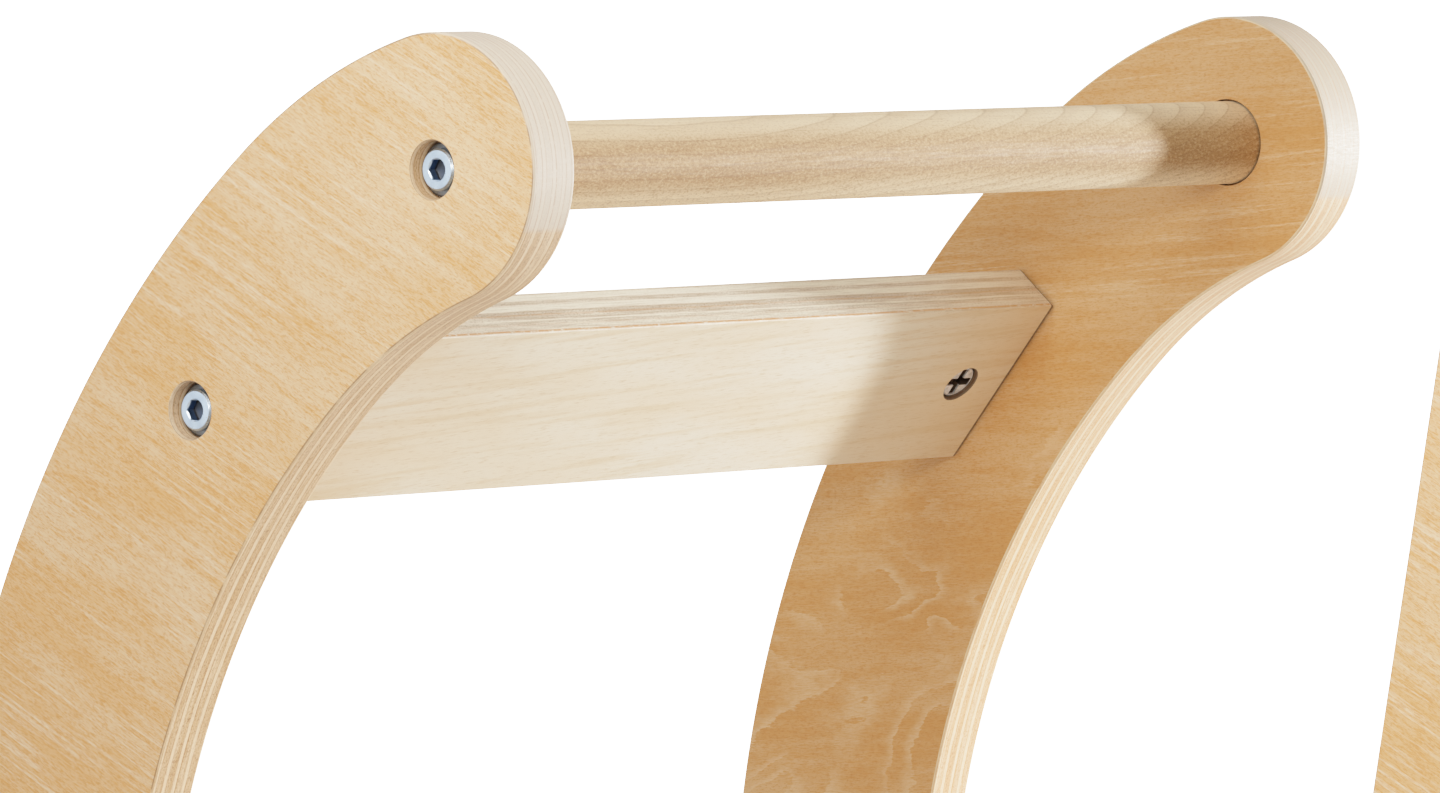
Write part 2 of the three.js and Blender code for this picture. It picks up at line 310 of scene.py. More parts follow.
class Finish:
    """One node material. Patterns are laid out in millimetres of a piece's own frame."""

    def __init__(self, name, metallic=0.0):
        self.material = bpy.data.materials.new(name)
        self.material.use_nodes = True
        self.tree = self.material.node_tree
        self.shader = self.tree.nodes["Principled BSDF"]
        self.shader.inputs["Metallic"].default_value = metallic
        self.place = self.read("grain")
        self.cut = self.read("cut")

    def read(self, attribute):
        reader = self.tree.nodes.new("ShaderNodeAttribute")
        reader.attribute_name = attribute
        return reader.outputs["Vector"]

    def feed(self, socket, value):
        """Links an input to the output given, or sets it to the constant given."""
        if isinstance(value, bpy.types.NodeSocket):
            self.tree.links.new(value, socket)
        else:
            socket.default_value = value

    def node(self, kind, values, **settings):
        """Adds a node. values go to its inputs in order."""
        made = self.tree.nodes.new(kind)
        for key, setting in settings.items():
            setattr(made, key, setting)
        for socket, value in zip(made.inputs, values):
            self.feed(socket, value)
        return made.outputs[0]

    def maths(self, operation, *values, clamp=False):
        return self.node("ShaderNodeMath", values, operation=operation, use_clamp=clamp)

    def times(self, *factors):
        product = factors[0]
        for factor in factors[1:]:
            product = self.maths("MULTIPLY", product, factor)
        return product

    def length(self, a, b):
        """Length of the vector (a, b)."""
        squares = self.maths("ADD", self.times(a, a), self.times(b, b))
        return self.maths("SQRT", squares)

    def swayed(self, value, noise, amount):
        """value moved up and down by a noise, which lies about 0.5."""
        return self.maths("MULTIPLY_ADD", self.maths("SUBTRACT", noise, 0.5), amount, value)

    def parts(self, vector):
        split = self.tree.nodes.new("ShaderNodeSeparateXYZ")
        self.tree.links.new(vector, split.inputs[0])
        return split.outputs

    def stretched(self, sizes, turned_by=0.0, seed=0.0):
        """Coordinates that run once through 1 in each of the three sizes, along a turned grain."""
        offset = [seed * stride for stride in SEED_STRIDE]
        return self.node(
            "ShaderNodeMapping",
            (self.place, offset, (0, 0, math.radians(turned_by)), sizes),
            vector_type="TEXTURE",
        )

    def noise(self, sizes, turned_by=0.0, seed=0.0, detail=2.0, roughness=0.5, distortion=0.0):
        """Noise from 0 to 1 whose blobs measure about the three sizes."""
        made = self.tree.nodes.new("ShaderNodeTexNoise")
        self.tree.links.new(self.stretched(sizes, turned_by, seed), made.inputs["Vector"])
        made.inputs["Scale"].default_value = 1.0
        made.inputs["Detail"].default_value = detail
        made.inputs["Roughness"].default_value = roughness
        made.inputs["Distortion"].default_value = distortion
        return made.outputs[0]

    def window(self, value, low, high, to_low=0.0, to_high=1.0):
        """value taken from low..high to to_low..to_high, smoothly and no further."""
        return self.node(
            "ShaderNodeMapRange",
            (value, low, high, to_low, to_high),
            interpolation_type="SMOOTHSTEP",
        )

    def between(self, value, rise, fall):
        """0 outside, 1 inside. It rises over one (low, high) range and falls over another."""
        return self.times(self.window(value, *rise), self.window(value, *fall, 1.0, 0.0))

    def mix(self, amount, first, second):
        """Mixes two colours."""
        made = self.tree.nodes.new("ShaderNodeMix")
        made.data_type = "RGBA"
        made.clamp_factor = True
        # the factor, and of the node's pairs of inputs the one for colours
        self.feed(made.inputs[0], amount)
        self.feed(made.inputs[6], first)
        self.feed(made.inputs[7], second)
        return made.outputs[2]

    def ramp(self, value, stops):
        """A colour ramp through (position, grey level) stops."""
        made = self.tree.nodes.new("ShaderNodeValToRGB")
        elements = made.color_ramp.elements
        elements[0].position, elements[1].position = stops[0][0], stops[-1][0]
        for position, _ in stops[1:-1]:
            elements.new(position)
        for element, (_, level) in zip(elements, stops):
            element.color = (level, level, level, 1)
        self.tree.links.new(value, made.inputs[0])
        return made.outputs[0]

    def paint(self, colour, roughness, height=None, relief=0.0):
        """Finishes the material. height gives relief millimetres of bump."""
        self.feed(self.shader.inputs["Base Color"], colour)
        self.feed(self.shader.inputs["Roughness"], roughness)
        if height is not None:
            bump = self.tree.nodes.new("ShaderNodeBump")
            bump.inputs["Strength"].default_value = 1.0
            bump.inputs["Distance"].default_value = relief * MM
            self.tree.links.new(height, bump.inputs["Height"])
            self.tree.links.new(bump.outputs[0], self.shader.inputs["Normal"])
        return self.material


def rgb(red, green, blue):
    """A colour given in sRGB display values from 0 to 255, as scene-linear."""
    levels = [v / 255 for v in (red, green, blue)]
    linear = [v / 12.92 if v <= 0.04045 else ((v + 0.055) / 1.055) ** 2.4 for v in levels]
    return (*linear, 1)


def ply_stops(plies, glue_width):
    """Ramp stops across the sheet, from -Z to +Z: the plies' tone, and the glue lines.

    A glue line fades out over glue_width on either side.
    """
    soft = PLY_BLUR / SHEET
    fade = glue_width / SHEET
    tones, glue = [], []
    edge = 1.0
    for index, (thickness, tone, line) in enumerate(plies):
        tones.append((edge - soft if index else 1.0, tone))
        edge = max(edge - thickness / SHEET, 0.0)
        last = index == len(plies) - 1
        tones.append((0.0 if last else edge + soft, tone))
        if not last:
            glue.extend([(edge + fade, 0.0), (edge, line), (edge - fade, 0.0)])
    return sorted(tones), sorted(glue)


def ply_edges(wood, plies, glue_width, colours, bleached=None):
    """Colour and speckle of bare edges: light and dark plies with broken glue lines between them.

    bleached is how far the plies are paled, from 0 to 1.
    """
    depth = wood.swayed(wood.parts(wood.place)[2], wood.noise((34, 34, 9), seed=3), 0.9)
    across = wood.maths("MULTIPLY_ADD", depth, 1 / SHEET, 0.5)
    tone_stops, glue_stops = ply_stops(plies, glue_width)
    tone = wood.ramp(across, tone_stops)
    glue_line = wood.ramp(across, glue_stops)

    patches = wood.noise((26, 26, 1.7), seed=7)
    streaks = wood.noise((11, 11, 0.30), seed=5, detail=3, roughness=0.65)
    patched = wood.times(tone, wood.window(patches, 0.25, 0.7, 0.45, 1.1))
    streaked = wood.window(streaks, 0.42, 0.66, -0.15, 0.45)
    darkness = wood.maths("ADD", patched, streaked, clamp=True)
    colour = wood.mix(darkness, colours["ply_light"], colours["ply_dark"])

    # pores, most in the dark plies, which are cut across the grain
    speckle = wood.noise((0.65, 0.65, 0.40), seed=6, roughness=0.7)
    pore_share = wood.maths("MULTIPLY_ADD", tone, 0.55, 0.15)
    pores = wood.times(wood.window(speckle, 0.50, 0.64), pore_share)
    colour = wood.mix(pores, colour, colours["pore"])

    glue_share = 0.90
    if bleached is not None:
        colour = wood.mix(wood.times(bleached, 0.80), colour, colours["head_edge"])
        glue_share = wood.maths("MULTIPLY_ADD", bleached, -0.30, glue_share)
    gaps = wood.noise((2.0, 2.0, 0.9), seed=8, roughness=0.75)
    glue = wood.times(glue_line, wood.window(gaps, 0.28, 0.50), glue_share)
    return wood.mix(glue, colour, colours["glue"]), speckle


def face_share(wood):
    """1 on the faces of a sheet, 0 on its bare edges and in its holes."""
    cut_z = wood.parts(wood.cut)[2]
    return wood.window(wood.maths("ABSOLUTE", cut_z), 0.80, 0.97)


def sheet_relief(wood, fibre, speckle):
    """Height for a sheet's bump."""
    return wood.maths("MULTIPLY_ADD", fibre, 0.6, wood.times(speckle, 0.4))


def warm_veneer(wood, look, fibre):
    """Colour of a panel's faces: zones, fibres, flecks and pale streaks along its turned grain."""
    turned_by, seed = look["turned_by"], look["seed"]
    height = wood.parts(wood.place)[1]

    # broad warm and pale zones drawn out along the grain, their borders ragged
    clouds = wood.noise((80, 24, 40), turned_by, seed + 3, detail=4, roughness=0.58)
    streaks = wood.noise((30, 2.4, 40), turned_by, seed + 2, detail=4, roughness=0.62)
    zones = wood.maths("MULTIPLY_ADD", clouds, 0.60, wood.times(streaks, 0.40))
    zones = wood.swayed(zones, fibre, 0.18)
    zones = wood.maths("ADD", zones, wood.window(height, 280, 430, 0.035, -0.015))
    face = wood.mix(wood.window(zones, 0.36, 0.64), look["pale"], look["warm"])

    # fine orange grain, strongest in the warm zones, and flecks
    strength = wood.window(zones, 0.38, 0.60, 0.35, 0.9)
    grain = wood.times(wood.window(fibre, 0.48, 0.62), strength, 0.80)
    face = wood.mix(grain, face, look["fibre"])
    flecks = wood.noise((1.2, 0.40, 3), turned_by, seed + 5, roughness=0.65)
    face = wood.mix(wood.times(wood.window(flecks, 0.54, 0.66), 0.55), face, look["fleck"])

    # pale ragged streaks in many places
    lines = wood.noise((46, 1.3, 40), turned_by + 1.5, seed + 4, detail=3, roughness=0.55,
                       distortion=0.25)
    present = wood.noise((60, 20, 40), turned_by, seed + 6)
    ragged = wood.window(fibre, 0.30, 0.62, 1.0, 0.3)
    pale = wood.times(wood.window(lines, 0.52, 0.62), wood.window(present, 0.40, 0.56),
                      ragged, 0.85)
    if look["contours"] == 0:
        return wood.mix(pale, face, look["line"])

    # low on the horns, contour bands in their place
    pale = wood.times(pale, wood.window(height, CONTOURS_BELOW, CONTOURS_BELOW + 50, 0.15, 1.0))
    face = wood.mix(pale, face, look["line"])
    return wood.mix(contour_bands(wood, look, fibre), face, look["line"])


def contour_bands(wood, look, fibre):
    """Strength of pale wavy bands where the cut followed the growth rings, low on the horns."""
    turned_by, seed = look["turned_by"], look["seed"]
    swirl = wood.noise((70, 40, 60), turned_by + 8, seed + 7, roughness=0.35, distortion=0.5)
    ripple = wood.noise((11, 5, 9), turned_by, seed + 9, detail=3, roughness=0.62)
    level = wood.swayed(wood.swayed(swirl, ripple, 0.11), fibre, 0.025)
    ring = wood.maths("FRACT", wood.times(level, CONTOUR_RINGS))
    # each ring pales slowly and ends in a sharp border
    bands = wood.between(ring, (0.45, 0.95), (0.95, 1.0))
    present = wood.noise((26, 16, 20), turned_by, seed + 12, detail=3)
    ragged = wood.window(fibre, 0.30, 0.62, 1.0, 0.5)
    height = wood.maths("MULTIPLY_ADD", ripple, 60.0, wood.parts(wood.place)[1])
    low = wood.window(height, CONTOURS_BELOW, CONTOURS_BELOW + 80, 1.0, 0.0)
    return wood.times(bands, wood.window(present, 0.40, 0.62), ragged, low, look["contours"])


def distance_from_handles(wood):
    """In a panel: how far a point lies from the axis of the nearest handle."""
    x, height, _ = wood.parts(wood.place)
    beside = wood.maths("PINGPONG", x, middle("handle_right").x / 2)
    above = wood.maths("SUBTRACT", height, middle("handle_right").z)
    return wood.length(beside, above)


def head_bleaching(wood, from_axis):
    """How far a panel's edges are greyer and paler: round the heads, and a little below them."""
    height = wood.parts(wood.place)[1]
    on_head = wood.window(height, PALE_FROM, PALE_FROM + 3)
    under_head = wood.window(height, PALE_FROM - 120, PALE_FROM, 0.0, 0.28)
    outside_bores = wood.window(from_axis, HEAD_RADIUS - 10, HEAD_RADIUS - 5)
    return wood.times(wood.maths("MAXIMUM", on_head, under_head), outside_bores)


def arris_line(wood, look):
    """Strength of a thin worn line where the sanded arris cuts through the veneer."""
    z = wood.parts(wood.place)[2]
    below_face = wood.maths("SUBTRACT", SHEET / 2, wood.maths("ABSOLUTE", z))
    line = wood.between(below_face, (0.02, 0.06), (0.14, 0.30))
    wear = wood.noise((7, 7, 3), seed=look["seed"] + 8, roughness=0.6)
    return wood.times(line, wood.window(wear, 0.3, 0.55), look["arris_strength"])


def veneered_panel(name, look):
    """Plywood with a warm rotary-cut veneer on its faces and bare edges."""
    wood = Finish(name)
    fibre = wood.noise((2.8, 0.36, 3), look["turned_by"], look["seed"] + 1, detail=3,
                       roughness=0.75)
    from_axis = distance_from_handles(wood)
    bleached = head_bleaching(wood, from_axis)
    edge, speckle = ply_edges(wood, PANEL_PLIES, PANEL_GLUE_WIDTH, look, bleached)
    socket = wood.between(from_axis, (SOCKET_RADIUS - 1, SOCKET_RADIUS - 0.5),
                          (SOCKET_RADIUS + 0.3, SOCKET_RADIUS + 0.8))
    edge = wood.mix(wood.times(socket, 0.9), edge, SOCKET_SHADE)
    colour = wood.mix(face_share(wood), edge, warm_veneer(wood, look, fibre))
    colour = wood.mix(arris_line(wood, look), colour, look["arris"])
    roughness = wood.window(fibre, 0.3, 0.7, 0.50, 0.66)
    return wood.paint(colour, roughness, sheet_relief(wood, fibre, speckle), relief=0.05)


def plain_board(name, look):
    """Plywood with a pale, nearly plain veneer, its grain along the board."""
    wood = Finish(name)
    fibre = wood.noise((0.36, 4.2, 3), look["turned_by"], seed=21, detail=3, roughness=0.7)
    drift = wood.noise((2.6, 60, 30), look["turned_by"], seed=22, detail=4, roughness=0.6)
    clouds = wood.noise((24, 80, 30), seed=23, detail=3)
    face = wood.mix(wood.window(clouds, 0.35, 0.65), look["pale"], look["warm"])
    face = wood.mix(wood.times(wood.window(drift, 0.46, 0.68), 0.60), face, look["drift"])
    face = wood.mix(wood.times(wood.window(fibre, 0.53, 0.70), 0.50), face, look["fibre"])
    edge, speckle = ply_edges(wood, BOARD_PLIES, BOARD_GLUE_WIDTH, look)
    on_face = face_share(wood)
    colour = wood.mix(on_face, edge, face)

    # a little browner towards the ends, as painted shade with warm light bounced from the panels,
    # and dark in the joints with the panels, as a painted shadow
    across, along, _ = wood.parts(wood.place)
    from_end = wood.maths("SUBTRACT", BOARD_LENGTH / 2, wood.maths("ABSOLUTE", along))
    colour = wood.mix(wood.window(from_end, 8, 80, 0.30, 0.0), colour, look["end"])
    # painted shadow in the gap where the board's end meets a panel
    joint_shadow = wood.times(wood.window(from_end, 1.2, 1.6, 1.0, 0.0),
                       wood.window(fibre, 0.30, 0.55, 0.95, 0.75))
    colour = wood.mix(joint_shadow, colour, look["joint_shadow"])
    # painted shade: the walls of the slats' nut holes, which are near the slats' middle line, are
    # dark
    near_middle = wood.window(wood.maths("ABSOLUTE", across), 18, 20, 1.0, 0.0)
    hole = wood.times(near_middle, wood.maths("SUBTRACT", 1.0, on_face), 0.85)
    colour = wood.mix(hole, colour, look["hole"])
    roughness = wood.window(fibre, 0.3, 0.7, 0.48, 0.62)
    return wood.paint(colour, roughness, sheet_relief(wood, fibre, speckle), relief=0.04)


def turned_wood(name, look):
    """Turned rod: year rings met at a slant, a painted highlight along the top and bottom, fine
    pores.
    """
    wood = Finish(name)
    x, y, z = wood.parts(wood.place)
    bend = wood.noise((60, 60, 120), seed=31, roughness=0.4)
    speckle = wood.noise((0.55, 0.55, 0.95), seed=32, roughness=0.8)
    fibre = wood.noise((0.6, 0.6, 16), seed=33, detail=3, roughness=0.6)
    shade = wood.noise((12, 12, 110), seed=34, detail=3)

    # the rings are stacked along y, and their slant changes along the rod
    slant = wood.maths("MULTIPLY_ADD", z, -RING_BOW, RING_SLANT)
    sway = wood.maths("MULTIPLY_ADD", bend, RING_BEND, wood.times(x, RING_LEAN))
    level = wood.maths("ADD", wood.maths("MULTIPLY_ADD", z, slant, y), sway)
    year = wood.maths("FRACT", wood.times(level, 1 / RING_SPACING))
    late_wood = wood.between(year, (0.20, 0.93), (0.93, 1.0))
    ring_line = wood.between(year, (0.86, 0.93), (0.93, 0.99))
    # painted highlight: pale bands along the rod's top and bottom, where the light from above and
    # from the floor falls
    above = wood.window(y, 2.5, 10.5)
    below = wood.window(wood.maths("MULTIPLY_ADD", bend, 4.0, y), -1.0, -8.5)

    colour = wood.mix(wood.window(shade, 0.3, 0.7), look["light"], look["dark"])
    rim_highlight = wood.times(wood.maths("MAXIMUM", above, below), 0.88)
    colour = wood.mix(rim_highlight, colour, look["rim_highlight"])
    colour = wood.mix(wood.times(late_wood, 0.18), colour, look["late_wood"])
    colour = wood.mix(wood.times(ring_line, 0.22), colour, look["ring_line"])
    colour = wood.mix(wood.times(wood.window(fibre, 0.50, 0.72), 0.22), colour, look["fibre"])
    # fewer pores in the painted highlight at the top
    pore_share = wood.maths("MULTIPLY_ADD", above, -0.25, 0.46)
    pores = wood.times(wood.window(speckle, 0.50, 0.64), pore_share)
    colour = wood.mix(pores, colour, look["pore"])
    glints = wood.times(wood.window(speckle, 0.34, 0.48, 1.0, 0.0), 0.36)
    colour = wood.mix(glints, colour, look["glint"])
    roughness = wood.window(fibre, 0.3, 0.7, 0.62, 0.74)
    return wood.paint(colour, roughness, speckle, relief=0.06)


def zinc_steel(name, look):
    """Bright zinc plating: bluish, with turning marks, small cloudy patches and a socket darkened
    with painted shade.
    """
    steel = Finish(name, metallic=1.0)
    cloud = steel.noise((3.5, 3.5, 3.5), seed=41, detail=4, roughness=0.6)
    x, y, z = steel.parts(steel.place)
    radius = steel.length(x, y)
    colour = steel.mix(steel.window(cloud, 0.3, 0.7), look["light"], look["dark"])
    spots = steel.window(steel.noise((0.5, 0.5, 0.5), seed=42, detail=1), 0.70, 0.78)
    colour = steel.mix(steel.times(spots, 0.5), colour, look["spot"])

    # painted shade: the hex socket is dark inside
    head_top = -WASHER_THICKNESS - BOLT_HEAD_HEIGHT
    socket_shade = steel.times(steel.window(z, head_top + 0.3, head_top + 0.9),
                            steel.window(radius, 2.95, 3.1, 1.0, 0.0), 0.85)
    colour = steel.mix(socket_shade, colour, look["socket"])
    # the washer and the shank are duller, and the washer's rim is darkest, a painted shadow of the
    # gap round the washer
    on_washer = steel.window(z, -WASHER_THICKNESS - 0.2, -WASHER_THICKNESS)
    colour = steel.mix(steel.times(on_washer, 0.85), colour, look["washer"])
    washer_gap_shade = steel.times(on_washer, steel.window(radius, 6.1, 6.6), 0.8)
    colour = steel.mix(washer_gap_shade, colour, look["washer_gap_shade"])

    turning_marks = steel.maths("SINE", steel.times(radius, 42.0))
    height = steel.maths("MULTIPLY_ADD", turning_marks, 0.3, cloud)
    roughness = steel.window(cloud, 0.25, 0.75, 0.24, 0.40)
    return steel.paint(colour, roughness, height, relief=0.01)


def nut_steel(name, look):
    """Die-cast nut: light grey with a fine pitted skin and grime in its slots."""
    steel = Finish(name, metallic=0.55)
    cloud = steel.noise((2.2, 2.2, 2.2), seed=51, detail=4, roughness=0.65)
    skin = steel.noise((0.5, 0.5, 0.5), seed=52, detail=3, roughness=0.7)
    colour = steel.mix(steel.window(cloud, 0.35, 0.65), look["light"], look["dark"])
    colour = steel.mix(steel.times(steel.window(skin, 0.56, 0.70), 0.55), colour, look["pit"])
    slotted_face = BARREL_BELOW_FACE - SHEET / 2
    z = steel.parts(steel.place)[2]
    in_slot = steel.window(z, slotted_face + 0.25, slotted_face + 0.7, 0.0, 0.95)
    colour = steel.mix(in_slot, colour, look["grime"])
    roughness = steel.window(cloud, 0.25, 0.75, 0.40, 0.58)
    return steel.paint(colour, roughness, skin, relief=0.05)


# turned_by is the grain's direction in degrees, contours the strength of the contour bands
NEAR_VENEER = {
    "turned_by": -27.0, "contours": 0.0, "seed": 1, "arris_strength": 0.65,
    "pale": rgb(239, 211, 178), "warm": rgb(230, 184, 134), "fibre": rgb(217, 152, 84),
    "fleck": rgb(204, 144, 84), "line": rgb(246, 226, 202), "arris": rgb(112, 76, 44),
    "ply_light": rgb(240, 214, 182), "ply_dark": rgb(203, 163, 120), "pore": rgb(140, 96, 56),
    "glue": rgb(156, 94, 42), "head_edge": rgb(222, 215, 206),
}
# the far panel's colours are darker than the near one's: partly the veneer's own tone, partly
# painted shade for the weaker light on its inner face
FAR_VENEER_PARTLY_SHADED = {
    "turned_by": 4.3, "contours": 0.9, "seed": 11, "arris_strength": 0.85,
    "pale": rgb(221, 180, 135), "warm": rgb(211, 157, 98), "fibre": rgb(203, 142, 80),
    "fleck": rgb(191, 128, 68), "line": rgb(232, 200, 162), "arris": rgb(242, 226, 198),
    "ply_light": rgb(242, 216, 182), "ply_dark": rgb(224, 172, 126), "pore": rgb(186, 130, 84),
    "glue": rgb(204, 136, 70), "head_edge": rgb(202, 193, 179),
}
BOARD_WOOD = {
    "turned_by": -5.0,
    "pale": rgb(235, 226, 209), "warm": rgb(231, 214, 190), "drift": rgb(216, 192, 158),
    "fibre": rgb(190, 160, 120), "ply_light": rgb(238, 230, 212), "ply_dark": rgb(184, 165, 144),
    # the end colour is painted shade with warm light bounced from the panels
    "pore": rgb(134, 114, 92), "glue": rgb(186, 112, 10), "end": rgb(208, 166, 116),
    # painted shadows: in the joints with the panels, and on the walls of the slats' nut holes
    "joint_shadow": rgb(50, 34, 20), "hole": rgb(64, 44, 26),
}
# on the rods, the pale colour laid along their top and bottom is a painted highlight
ROD_WOOD = {
    "light": rgb(184, 149, 107), "dark": rgb(163, 126, 84), "rim_highlight": rgb(243, 224, 194),
    "late_wood": rgb(148, 110, 72), "ring_line": rgb(108, 74, 46), "fibre": rgb(140, 102, 64),
    "pore": rgb(130, 92, 52), "glint": rgb(226, 200, 160),
}
ZINC = {
    "light": rgb(208, 230, 252), "dark": rgb(190, 213, 238), "spot": rgb(120, 112, 104),
    # the socket colour is painted shade inside the hex socket
    "socket": rgb(56, 90, 138), "washer": rgb(92, 90, 86), "washer_gap_shade": rgb(44, 38, 32),
}
NUT_METAL = {
    "light": rgb(228, 234, 242), "dark": rgb(186, 190, 196), "pit": rgb(128, 122, 116),
    "grime": rgb(72, 50, 24),
}
SOCKET_SHADE = rgb(58, 38, 22)
PAPER_GREYS = ((0.86, 0.86, 0.86, 1), (0.9, 0.9, 0.9, 1))

# ---------------------------------------------------------------- side panels


def polar(centre, radius, degrees):
    angle = math.radians(degrees)
    return centre + radius * Vector((math.cos(angle), math.sin(angle)))


def arc(centre, radius, start, end, outward=1):
    """(point, outward normal) pairs. outward is -1 where the wood lies outside the arc."""
    length = abs(math.radians(end - start)) * radius
    steps = max(3, math.ceil(length / ARC_STEP))
    pairs = []
    for step in range(steps + 1):
        point = polar(centre, radius, start + (end - start) * step / steps)
        pairs.append((point, outward * (point - centre).normalized()))
    return pairs


def rocker_and_back(head):
    """Outer side of the left half: from the flat on the floor up the back of the horn."""
    upper = polar(head, OUTER_UPPER_RADIUS - HEAD_RADIUS, OUTER_UPPER_ANGLE)
    lower = polar(upper, OUTER_LOWER_RADIUS - OUTER_UPPER_RADIUS, OUTER_LOWER_ANGLE)
    half_length = OUTER_LOWER_RADIUS - lower.x
    rocker = Vector((0, math.sqrt(ROCKER_RADIUS ** 2 - REST_FLAT ** 2)))
    rise = rocker.y - lower.y
    # the corner's arc touches the rocker, and the back of the horn at its furthest point
    corner_radius = (ROCKER_RADIUS ** 2 - half_length ** 2 - rise ** 2) / (
        2 * (ROCKER_RADIUS - half_length))
    corner = Vector((corner_radius - half_length, lower.y))
    flat_end = 270 - math.degrees(math.asin(REST_FLAT / ROCKER_RADIUS))
    rocker_end = 270 - math.degrees(math.atan2(-corner.x, rise))
    lower_end = 180 + OUTER_LOWER_ANGLE
    upper_end = 180 + OUTER_UPPER_ANGLE
    return [
        *arc(rocker, ROCKER_RADIUS, flat_end, rocker_end),
        *arc(corner, corner_radius, rocker_end, 180)[1:],
        *arc(lower, OUTER_LOWER_RADIUS, 180, lower_end)[1:],
        *arc(upper, OUTER_UPPER_RADIUS, lower_end, upper_end)[1:],
    ]


def front_and_hollow(head, middle_head):
    """Inner side of the left half: down the front of the horn and along the seat hollow."""
    upper = polar(head, INNER_UPPER_RADIUS + HEAD_RADIUS, INNER_UPPER_ANGLE)
    lower = polar(upper, INNER_LOWER_RADIUS - INNER_UPPER_RADIUS, INNER_LOWER_ANGLE)
    fillet_height = HOLLOW_HEIGHT + HOLLOW_FILLET
    reach = INNER_LOWER_RADIUS - HOLLOW_FILLET
    drop = fillet_height - lower.y
    back_fillet = Vector((lower.x - math.sqrt(reach ** 2 - drop ** 2), fillet_height))
    back_end = 180 - math.degrees(math.asin(drop / reach))
    lean = math.radians(FLANK_LEAN)
    flank_rise = middle_head.y - fillet_height
    front_x = -(HEAD_RADIUS + HOLLOW_FILLET) / math.cos(lean) - flank_rise * math.tan(lean)
    front_fillet = Vector((front_x, fillet_height))
    upper_start = 180 + INNER_UPPER_ANGLE
    lower_start = 180 + INNER_LOWER_ANGLE
    return [
        *arc(upper, INNER_UPPER_RADIUS, upper_start, lower_start, outward=-1)[1:],
        *arc(lower, INNER_LOWER_RADIUS, lower_start, back_end, outward=-1)[1:],
        *arc(back_fillet, HOLLOW_FILLET, back_end, 270, outward=-1)[1:],
        *arc(front_fillet, HOLLOW_FILLET, 270, 360 - FLANK_LEAN, outward=-1),
    ]


def panel_outline():
    """(point, outward normal) pairs of a side panel, from the floor up round the left horn."""
    head = middle("handle_left").xz
    middle_head = middle("handle_centre").xz
    left = [
        *rocker_and_back(head),
        *arc(head, HEAD_RADIUS, 180 + OUTER_UPPER_ANGLE, INNER_UPPER_ANGLE)[1:],
        *front_and_hollow(head, middle_head),
        *arc(middle_head, HEAD_RADIUS, 180 - FLANK_LEAN, 90),
    ]
    right = [(Vector((-p.x, p.y)), Vector((-n.x, n.y))) for p, n in reversed(left[:-1])]
    return left + right


def stepped_bore(with_socket):
    """Cutter for a bolt's bore, the panel's outer face at z = 0 and the panel below it."""
    past_face = -SHEET - OVERCUT
    profile = [
        (0, OVERCUT),
        (COUNTERBORE_RADIUS + COUNTERBORE_RIM + OVERCUT, OVERCUT),
        (COUNTERBORE_RADIUS, -COUNTERBORE_RIM),
        (COUNTERBORE_RADIUS, -COUNTERBORE_DEPTH),
        (CLEARANCE_RADIUS, -COUNTERBORE_DEPTH),
    ]
    if with_socket:
        shelf = SOCKET_DEPTH - SHEET
        profile += [(CLEARANCE_RADIUS, shelf), (SOCKET_RADIUS, shelf), (SOCKET_RADIUS, past_face)]
    else:
        profile += [(CLEARANCE_RADIUS, past_face)]
    return turned([*profile, (0, past_face)], FINE_ROUND)


def side_panel(side, material):
    """The near panel's outer face looks along -Y and the far one's along +Y."""
    node = f"side_panel_{side}"
    # the plate's XY becomes the seesaw's XZ, and its +Z the seesaw's -Y
    to_seesaw = at(y=middle(node).y) @ turn(90, "X")
    outer_face = at(z=SHEET / 2) if side == "near" else at(z=-SHEET / 2) @ turn(180, "X")
    bores = []
    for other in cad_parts:
        if other.startswith("bolt_") and f"_{side}" in other:
            spot = middle(other)
            bore = stepped_bore(with_socket="handle" in other)
            bores.append((bore, at(spot.x, spot.z) @ outer_face))
    body = carved(plate(panel_outline(), SHEET, PANEL_ARRIS), merged(bores))
    piece(node, body, to_seesaw, material)


# ---------------------------------------------------------------- handles, slats and boards


def handle(node, material):
    """A round rod with a bore for the insert and the bolt in each end."""
    low, high = span(node)
    end = (high.y - low.y) / 2
    insert_radius = INSERT_RADIUS + PLAY
    insert_end = end - INSERT_LENGTH - 2 * PLAY
    half = [
        (0, end - BORE_DEPTH),
        (CLEARANCE_RADIUS, end - BORE_DEPTH),
        (CLEARANCE_RADIUS, insert_end),
        (insert_radius, insert_end),
        (insert_radius, end),
        (HANDLE_RADIUS - HANDLE_CHAMFER, end),
        (HANDLE_RADIUS, end - HANDLE_CHAMFER),
    ]
    profile = [*half, *[(radius, -z) for radius, z in reversed(half)]]
    to_seesaw = at(*middle(node)) @ turn(90, "X")
    piece(node, turned(profile, FINE_ROUND), to_seesaw, material)


def rectangle(width, length, corner):
    """Outline of a board with small rounded corners, as (point, outward normal) pairs."""
    pairs = []
    for sx, sy, start in ((1, 1, 0), (-1, 1, 90), (-1, -1, 180), (1, -1, 270)):
        centre = Vector((sx * (width / 2 - corner), sy * (length / 2 - corner)))
        for step in range(CORNER_STEPS + 1):
            angle = start + 90 * step / CORNER_STEPS
            pairs.append((polar(centre, corner, angle), polar(Vector((0, 0)), 1, angle)))
    return pairs


def nut_hole():
    """Cutter for a barrel nut's hole, the board's face at z = 0 and the board above it."""
    return turned([
        (0, -OVERCUT),
        (BARREL_HOLE_RADIUS + NUT_HOLE_RIM + OVERCUT, -OVERCUT),
        (BARREL_HOLE_RADIUS, NUT_HOLE_RIM),
        (BARREL_HOLE_RADIUS, BARREL_HOLE_DEPTH),
        (0, BARREL_HOLE_DEPTH),
    ])


